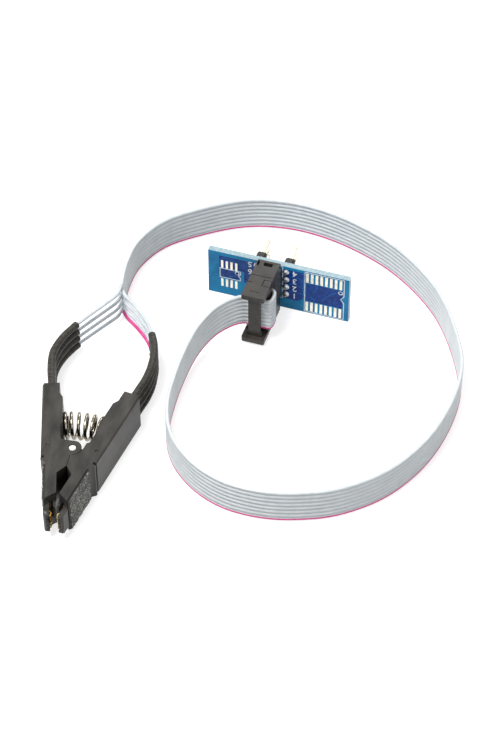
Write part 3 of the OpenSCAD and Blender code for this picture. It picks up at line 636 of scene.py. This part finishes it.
def cable_path():
    """The flat cable's middle line, from the split to its end in the socket."""
    points = [clip_point(x, y, CABLE_Z) for x, y in LOOP_ROUTE]
    points += [clip_point(x, y, CABLE_Z + rise) for x, y, rise in CLIMB_ROUTE]
    points += [plug_point(x, y, GROUP_MID) for x, y in PLUG_ROUTE]
    return smooth(points)


def sleeve_path(route, side, i):
    """A sleeve's line, from its tail pin outwards."""
    points = [clip_point(side * TAIL_END[0], TAIL_END[1], tail_z(i)),
              clip_point(side * HANDLE_EXIT[0], HANDLE_EXIT[1], tail_z(i))]
    points += [clip_point(x, y, tail_z(i)) for x, y in route]
    return smooth(points)


def bare_path(sleeve, route, i, k):
    """The wire from its sleeve's end to the flat cable."""
    a, b = Vector(sleeve[-2]), Vector(sleeve[-1])
    start = b + LEAD_GAP * (b - a).normalized()
    points = [clip_point(start.x, start.y, tail_z(i))]
    steps = len(route) + 1
    for j, (x, y) in enumerate(route):
        points.append(clip_point(x, y, tail_z(i) + (wire_z(k) - tail_z(i)) * (j + 1) / steps))
    points.append(clip_point(CABLE_START[0], CABLE_START[1], wire_z(k)))
    return smooth(points)


# ---------------------------------------------------------------- flat cable

cable_line = cable_path()
ribbon = grown("ribbon", line_mesh(cable_line), RIBBON_TREE, Web=RIBBON_WEB / 1000, Finish=RIBBON)
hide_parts("ribbon_cable")
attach(ribbon, "left_half")

# ---------------------------------------------------------------- wires and sleeves

for side, sleeve_route, wire_route, first, word in (
    (-1, LEFT_SLEEVE_ROUTE, LEFT_WIRE_ROUTE, 1, "left"),
    (1, RIGHT_SLEEVE_ROUTE, RIGHT_WIRE_ROUTE, 0, "right"),
):
    for i in range(4):
        k = 2 * i + first
        inner = sleeve_path(sleeve_route, side, i)
        outer = bare_path(sleeve_route, wire_route, i, k)
        line = inner + outer
        lead = grown(f"{word}_lead_{i + 1}", line_mesh(line), WIRE_TREE, Radius=WIRE_D / 2000, Sides=14,
                     Finish=WIRE_PINK if k == 0 else WIRE_GREY)
        sleeve = grown(f"{word}_sleeve_{i + 1}", line_mesh(inner), WIRE_TREE, Radius=SLEEVE_D / 2000,
                       Sides=20, Waver=0.1, Waves_per_metre=260.0, Finish=SLEEVE)
        if i == 0:
            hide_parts(word + "_leads")
            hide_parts(word + "_sleeves")
        for part in (lead, sleeve):
            if side < 0:
                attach(part, "left_half")
            else:
                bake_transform(part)

# ---------------------------------------------------------------- spring


def spring_line():
    """A coil whose axis is an arc that meets both handles square, with closed end turns."""
    a = math.radians(LEVER_ANGLE)
    seat = turned(HANDLE_IN - SPRING_WIRE / 2 - 0.04, SPRING_AT, LEVER_ANGLE)
    arc = seat[0] / math.sin(a)
    middle = seat[1] - arc * math.cos(a)
    coil = (SPRING_D - SPRING_WIRE) / 2

    def paid_out(s):
        """How far along its axis the coil has got; it slows to nothing at either end."""
        if s < CLOSING:
            return s * s / (2 * CLOSING)
        if s > 1 - CLOSING:
            return 1 - 1.5 * CLOSING + (CLOSING - (1 - s) ** 2 / CLOSING) / 2
        return s - CLOSING / 2

    steps = SPRING_TURNS * 40
    points = []
    for n in range(steps + 1):
        s = n / steps
        u = (paid_out(s) - paid_out(0)) / (paid_out(1) - paid_out(0))
        b, w = a * (2 * u - 1), 2 * math.pi * SPRING_TURNS * s
        r = arc + coil * math.cos(w)
        points.append(clip_point(r * math.sin(b), middle + r * math.cos(b), MID_Z + coil * math.sin(w)))
    return points, seat


coil_points, coil_seat = spring_line()
spring = grown("spring", line_mesh(coil_points), WIRE_TREE, Radius=SPRING_WIRE / 2000, Sides=16,
               Finish=STEEL)
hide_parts("jaw_spring")
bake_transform(spring)

# ---------------------------------------------------------------- print and copper on the board


def board_plane(front=True, lift=0.0):
    """Where a flat drawing of the board goes: its x along the board, its y upwards, its z outwards."""
    flat = Matrix.Rotation(math.radians(90), 4, "X") @ Matrix.Translation((0, 0, lift / 1000))
    if front:
        return plug_matrix() @ flat
    back = Matrix.Translation((0, BOARD_T / 1000, 0)) @ Matrix.Rotation(math.pi, 4, "Z")
    return plug_matrix() @ back @ flat


def drawing(lines, closed=False):
    """Flat lines in one mesh, all open or all closed."""
    mesh = bpy.data.meshes.new("drawing")
    points, edges = [], []
    for line in lines:
        first = len(points)
        points += [(x / 1000, y / 1000, 0) for x, y in line]
        edges += [(first + i, first + i + 1) for i in range(len(line) - 1)]
        if closed:
            edges.append((len(points) - 1, first))
    mesh.from_pydata(points, edges, [])
    return mesh


def circle(x, y, r, n=28):
    """The corners of a circle."""
    turns = [2 * math.pi * i / n for i in range(n)]
    return [(x + r * math.cos(turn), y + r * math.sin(turn)) for turn in turns]


def print_tree():
    """A flat printed or etched line of constant width along every line of a drawing."""
    tree, given = new_tree("printed_line", ("Width", "Float", 0.0002), ("Thickness", "Float", 0.00003),
                           ("Finish", "Material", None))
    line = put(tree, "GeometryNodeMeshToCurve", Mesh=given["Shape"])
    upright = put(tree, "GeometryNodeSetCurveNormal", {"mode": "Z_UP"}, Curve=line.outputs[0])
    bar = put(tree, "GeometryNodeCurvePrimitiveQuadrilateral", Width=given["Width"],
              Height=given["Thickness"])
    swept = put(tree, "GeometryNodeCurveToMesh", Curve=upright.outputs[0], Profile_Curve=bar.outputs[0],
                Fill_Caps=True)
    end_tree(tree, swept.outputs[0], given["Finish"])
    return tree


def flat_plates(name, outlines, thick, paint, plane):
    """Thin plates with the given outlines, in one piece."""
    work = bmesh.new()
    for outline in outlines:
        face = work.faces.new([work.verts.new((x / 1000, y / 1000, 0)) for x, y in outline])
        face.normal_update()
        if face.normal.z < 0:
            face.normal_flip()
        raised_face = bmesh.ops.extrude_face_region(work, geom=[face])
        top = [v for v in raised_face["geom"] if isinstance(v, bmesh.types.BMVert)]
        bmesh.ops.translate(work, vec=(0, 0, thick / 1000), verts=top)
    bmesh.ops.recalc_face_normals(work, faces=work.faces)
    mesh = bpy.data.meshes.new(name)
    work.to_mesh(mesh)
    work.free()
    mesh.transform(plane)
    mesh.materials.append(paint)
    return piece(name, mesh)


def printed_numbers(name, numbers, size, plane, paint):
    """Plain numbers, upside down on the standing board; each is the digit and its middle."""
    parts = []
    for digit, x, y in numbers:
        text = bpy.data.curves.new("digit", "FONT")
        text.body = digit
        text.size = size / 1000
        text.extrude = NUMBER_T / 1000
        text.offset = NUMBER_SWELL / 1000
        text.align_x = "CENTER"
        text.align_y = "CENTER"
        writer = bpy.data.objects.new("digit", text)
        bpy.context.scene.collection.objects.link(writer)
        bpy.context.view_layer.update()
        mesh = bpy.data.meshes.new_from_object(writer.evaluated_get(bpy.context.evaluated_depsgraph_get()))
        bpy.data.objects.remove(writer)
        mesh.transform(Matrix.Translation((x / 1000, y / 1000, 0)) @ Matrix.Rotation(math.pi, 4, "Z"))
        parts.append(mesh)
    work = bmesh.new()
    for mesh in parts:
        work.from_mesh(mesh)
    whole = bpy.data.meshes.new(name)
    work.to_mesh(whole)
    work.free()
    whole.transform(plane)
    whole.materials.clear()
    whole.materials.append(paint)
    return piece(name, whole)


def print_finish():
    """White screen print, a little thin and broken up."""
    paint, tree, shader = new_finish("screen_print", hexed(226, 230, 232), 0.55)
    worn = cloud(tree, place_of(tree), 2.6, 4.0)
    colour = graded(tree, worn, (0.3, hexed(186, 206, 218)), (0.5, hexed(230, 233, 234)))
    tree.links.new(colour, shader.inputs["Base Color"])
    raised(tree, shader, worn, 0.01, 0.5)
    return paint


def lacquer(name, low, high):
    """Blue lacquer over bare board or over a copper track."""
    paint, tree, shader = new_finish(name, high, 0.26, 0.0, 0.2)
    pool = cloud(tree, place_of(tree), 0.45, 4.0)
    tree.links.new(graded(tree, pool, (0.32, low), (0.68, high)), shader.inputs["Base Color"])
    tree.links.new(span(tree, pool, 0.3, 0.7, 0.2, 0.32), shader.inputs["Roughness"])
    raised(tree, shader, pool, 0.01, 0.4)
    return paint


PRINT = print_finish()
DEEP_BLUE = lacquer("lacquer_on_bare_board", hexed(6, 44, 116), hexed(10, 62, 140))
TRACK_BLUE = lacquer("lacquer_on_track", hexed(4, 62, 128), hexed(18, 96, 164))
PRINT_TREE = print_tree()


def on_board(obj):
    """A piece that moves with the board."""
    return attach(obj, "adapter")


def drawn(name, lines, width, thick, paint, front=True, closed=False):
    """A drawing's lines, as wide as given, standing up from the board by their thickness."""
    obj = grown(name, drawing(lines, closed), PRINT_TREE, False, Width=width / 1000,
                Thickness=2 * thick / 1000, Finish=paint)
    obj.data.transform(board_plane(front))
    return on_board(obj)


bare_front = [
    [(-15.9, 13.1), (-5.0, 13.1), (-5.0, 5.6), (-9.2, 5.6), (-9.2, 9.2), (-15.9, 9.2)],
    [(7.5, 10.2), (17.2, 10.2), (17.2, 4.1), (7.5, 4.1)],
    [(1.4, 13.4), (6.7, 13.4), (6.7, 4.4), (5.6, 3.3), (1.4, 3.3)],
    [(-15.4, 8.6), (-10.6, 8.6), (-10.6, 6.0), (-15.4, 6.0)],
]
bare_back = [
    [(-6.8, 13.3), (-2.6, 13.3), (-2.6, 3.6), (-6.8, 3.6)],
    [(-17.6, 9.6), (-8.0, 9.6), (-8.0, 4.6), (-17.6, 4.6)],
    [(8.4, 11.6), (15.4, 11.6), (15.4, 3.4), (8.4, 3.4)],
]
on_board(flat_plates("bare_board_front", bare_front, BARE_T, DEEP_BLUE, board_plane()))
on_board(flat_plates("bare_board_back", bare_back, BARE_T, DEEP_BLUE, board_plane(False)))

front_tracks = [
    [(-15.1, 11.6), (-15.1, 12.5), (-6.0, 12.5), (-5.0, 11.6)],
    [(-13.83, 11.6), (-13.4, 12.0), (-7.2, 12.0), (-5.4, 10.2)],
    [(-12.56, 11.6), (-8.0, 11.4), (-5.8, 9.0)],
    [(-11.29, 11.6), (-8.8, 10.4), (-8.2, 7.4), (-5.4, 6.6)],
    [(-14.8, 6.3), (-12.6, 8.2), (-11.0, 8.2)],
    [(-13.6, 6.2), (-11.2, 7.2)],
    [(2.0, 12.4), (3.0, 13.0), (6.2, 13.0), (7.8, 11.6)],
    [(2.0, 9.9), (3.2, 11.2), (5.9, 11.2), (6.6, 10.2), (9.0, 10.0), (9.07, 11.2)],
    [(2.0, 7.3), (3.4, 8.6), (6.2, 8.6), (8.2, 6.2), (9.9, 5.0)],
    [(2.0, 4.8), (3.4, 6.1), (6.2, 6.1), (7.6, 4.6), (7.8, 3.0)],
    [(16.6, 9.9), (13.4, 7.4), (11.9, 5.4)],
    [(10.34, 11.0), (10.34, 8.8), (9.4, 7.2)],
]
back_tracks = [
    [(-2.0, 12.4), (-3.0, 13.0), (-6.0, 13.0), (-7.6, 11.4), (-14.6, 11.4)],
    [(-2.0, 9.9), (-4.4, 9.9), (-6.6, 8.0), (-11.2, 8.0), (-13.0, 6.4)],
    [(-2.0, 7.3), (-4.6, 6.4), (-10.4, 6.0)],
    [(-2.0, 4.8), (-4.8, 4.8), (-8.2, 3.6), (-15.0, 3.6), (-16.2, 4.8)],
    [(5.6, 12.4), (8.8, 12.4), (10.2, 11.0), (14.8, 11.0)],
    [(5.6, 9.9), (9.2, 9.4), (12.8, 9.4)],
    [(5.6, 7.3), (9.6, 7.3), (11.0, 6.0), (13.8, 6.0)],
    [(5.6, 4.8), (9.4, 4.4), (14.4, 4.4)],
]
drawn("tracks_front", front_tracks, TRACK_W, TRACK_T, TRACK_BLUE)
drawn("tracks_back", back_tracks, TRACK_W, TRACK_T, TRACK_BLUE, front=False)

outlines = [
    [(7.15, 0.35), (7.15, 13.9), (17.6, 13.9), (17.6, 8.3), (16.75, 7.15), (17.6, 5.95), (17.6, 0.35)],
    circle(16.68, 9.35, 0.5),
    [(-15.7, 5.75), (-15.7, 8.85), (-10.15, 8.85), (-10.15, 7.95), (-10.75, 7.3), (-10.15, 6.65),
     (-10.15, 5.75)],
    circle(-11.05, 8.2, 0.5),
    [(-4.85, 3.2), (-4.85, 14.0), (1.2, 14.0), (1.2, 3.2)],
]
drawn("screen_print_lines", outlines, PRINT_W, PRINT_T, PRINT, closed=True)
heights = [GROUP_MID + (i - 1.5) * PIN_PITCH for i in range(4)]
numbers = [(str(i + 1), 4.4, z) for i, z in enumerate(heights)]
numbers += [(str(8 - i), -7.6, z) for i, z in enumerate(heights)]
on_board(printed_numbers("pin_numbers", numbers, NUMBER_H, board_plane(lift=0.02), PRINT))


# ---------------------------------------------------------------- painted shade along the seams of the socket


def painted_gap_shade_finish():
    """Painted shade: a near-black strip laid over the seam between two mouldings, where the gap is in
    shadow, with a faint random dusty tone.
    """
    paint, tree, shader = new_finish("moulding_gap", hexed(6, 6, 5), 0.7, 0.0, 0.1)
    dust = cloud(tree, place_of(tree), 3.0, 3.0)
    tree.links.new(graded(tree, dust, (0.4, hexed(5, 5, 4)), (0.7, hexed(22, 20, 18))),
                   shader.inputs["Base Color"])
    tree.links.new(span(tree, dust, 0.3, 0.7, 0.6, 0.85), shader.inputs["Roughness"])
    return paint


def socket_end(z, up):
    """Where a flat drawing of the socket's upper or lower end goes: x along the board, y away from it."""
    return plug_matrix() @ Matrix.Translation((0, 0, z / 1000)) @ Matrix.Diagonal((1, 1, 1 if up else -1, 1))


GAP_SHADE = painted_gap_shade_finish()
# painted shade: dark strips along the gaps between the socket's mouldings and around the latch window
gap_shade_lines = [
    [(-4.8, -7.65), (1.2, -7.65)],
    [(1.2, -8.72), (-0.88, -8.72), (-0.88, -10.98), (1.2, -10.98)],
    [(-4.8, -10.4), (-3.9, -10.4)],
    [(-3.2, -13.6), (-0.6, -13.6)],
]
# the painted shade strips go on the socket's upper and lower ends
for name, z, up in (("socket_seams_top", GROUP_MID + SOCKET_HALF, True),
                    ("socket_seams_foot", GROUP_MID - SOCKET_HALF, False)):
    flat = grown(name + "_flat", drawing(gap_shade_lines), PRINT_TREE, False, Width=GAP_SHADE_W / 1000,
                 Thickness=GAP_SHADE_T / 1000, Finish=GAP_SHADE)
    placed = flat.data.copy()
    placed.transform(socket_end(z, up))
    bpy.data.objects.remove(flat)
    lines = piece(name, placed)
    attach(lines, "left_half")

# ---------------------------------------------------------------- plated holes and solder


def ring_tree():
    """A small plated ring at every point."""
    tree, given = new_tree("plated_rings", ("Radius", "Float", 0.0003), ("Rim", "Float", 0.00009),
                           ("Finish", "Material", None))
    ring = put(tree, "GeometryNodeCurvePrimitiveCircle", Resolution=20, Radius=given["Radius"])
    rim = put(tree, "GeometryNodeCurvePrimitiveCircle", Resolution=6, Radius=given["Rim"])
    swept = put(tree, "GeometryNodeCurveToMesh", Curve=ring.outputs[0], Profile_Curve=rim.outputs[0])
    placed = put(tree, "GeometryNodeInstanceOnPoints", Points=given["Shape"], Instance=swept.outputs[0])
    end_tree(tree, placed.outputs[0], given["Finish"])
    return tree


def dots(points):
    """A mesh of loose points."""
    mesh = bpy.data.meshes.new("dots")
    mesh.from_pydata([(x / 1000, y / 1000, 0) for x, y in points], [], [])
    return mesh


VIAS = [(9.9, 5.0), (11.9, 5.4), (13.8, 5.6), (15.3, 6.6), (16.6, 9.9), (-8.2, 11.2), (-5.6, 12.2),
        (-14.8, 6.4), (-11.2, 8.0), (9.4, 7.2)]
RING_TREE = ring_tree()
vias = grown("vias", dots(VIAS), RING_TREE, Radius=VIA_R / 1000, Rim=VIA_RIM / 1000, Finish=TRACK_BLUE)
vias.data.transform(board_plane())
on_board(vias)


def fillet_tree():
    """A hollow-sided heap of solder at every point."""
    tree, given = new_tree("solder_fillets", ("Foot", "Float", 0.00095), ("Top", "Float", 0.00042),
                           ("Height", "Float", 0.0008), ("Seed", "Int", 3), ("Finish", "Material", None))
    top = put(tree, "ShaderNodeCombineXYZ", Z=given["Height"])
    stem = put(tree, "GeometryNodeCurvePrimitiveLine", End=top.outputs[0])
    stem = put(tree, "GeometryNodeResampleCurve", Curve=stem.outputs[0], Count=9)
    way = put(tree, "GeometryNodeSplineParameter").outputs["Factor"]
    fall = maths(tree, "POWER", maths(tree, "SUBTRACT", 1.0, way), 2.6)
    flare = maths(tree, "SUBTRACT", given["Foot"], given["Top"])
    width = maths(tree, "MULTIPLY_ADD", fall, flare, given["Top"])
    ring = put(tree, "GeometryNodeCurvePrimitiveCircle", Resolution=20, Radius=1.0)
    heap = put(tree, "GeometryNodeCurveToMesh", Curve=stem.outputs[0], Profile_Curve=ring.outputs[0],
               Scale=width, Fill_Caps=True)
    vary = put(tree, "FunctionNodeRandomValue", {"data_type": "FLOAT"}, n2=0.9, n3=1.12, Seed=given["Seed"])
    placed = put(tree, "GeometryNodeInstanceOnPoints", Points=given["Shape"], Instance=heap.outputs[0],
                 Scale=vary.outputs[1])
    end_tree(tree, placed.outputs[0], given["Finish"])
    return tree


FILLET_TREE = fillet_tree()
strip_spots = [(GROUP_X + side * STRIP_GAP / 2, z) for side in (-1, 1) for z in heights]
header_spots = [(-GROUP_X + side * PIN_PITCH / 2, z) for side in (-1, 1) for z in heights]
for name, spots, front in (("solder_front", strip_spots, True), ("solder_back", header_spots, False)):
    heaps = grown(name, dots(spots), FILLET_TREE, Seed=5 if front else 8, Finish=SOLDER)
    heaps.data.transform(board_plane(front))
    on_board(heaps)
    if front:
        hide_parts("solder_joints")

# ---------------------------------------------------------------- rough grip pads


def grain_tree():
    """Coarse grains scattered over the faces that look one way."""
    tree, given = new_tree("rough_grain", ("Outward", "Vector", (1, 0, 0)), ("Spacing", "Float", 0.00034),
                           ("Grain", "Float", 0.00019), ("Seed", "Int", 11), ("Finish", "Material", None))
    face = put(tree, "GeometryNodeInputNormal").outputs[0]
    facing = put(tree, "ShaderNodeVectorMath", {"operation": "DOT_PRODUCT"}, n0=face, n1=given["Outward"])
    good = put(tree, "FunctionNodeCompare", {"data_type": "FLOAT", "operation": "GREATER_THAN"},
               n0=facing.outputs["Value"], n1=0.9)
    spots = put(tree, "GeometryNodeDistributePointsOnFaces", {"distribute_method": "POISSON"},
                Mesh=given["Shape"], Selection=good.outputs[0], Distance_Min=given["Spacing"],
                Density_Max=3.0e7, Seed=given["Seed"])
    ball = put(tree, "GeometryNodeMeshIcoSphere", Radius=given["Grain"], Subdivisions=2)
    vary = put(tree, "FunctionNodeRandomValue", {"data_type": "FLOAT"}, n2=0.55, n3=1.25, Seed=given["Seed"])
    placed = put(tree, "GeometryNodeInstanceOnPoints", Points=spots.outputs["Points"],
                 Instance=ball.outputs[0], Scale=vary.outputs[1])
    end_tree(tree, placed.outputs[0], given["Finish"])
    return tree


GRAIN_TREE = grain_tree()
for side, word in ((-1, "left"), (1, "right")):
    outward = lever_matrix(side).to_3x3() @ Vector((1, 0, 0))
    grains = grown(word + "_grip_grain", NODES[word + "_grip_pad"].data.copy(), GRAIN_TREE,
                   Outward=tuple(outward), Seed=11 + side, Finish=GRAIN_PLASTIC)
    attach(grains, word + "_half")
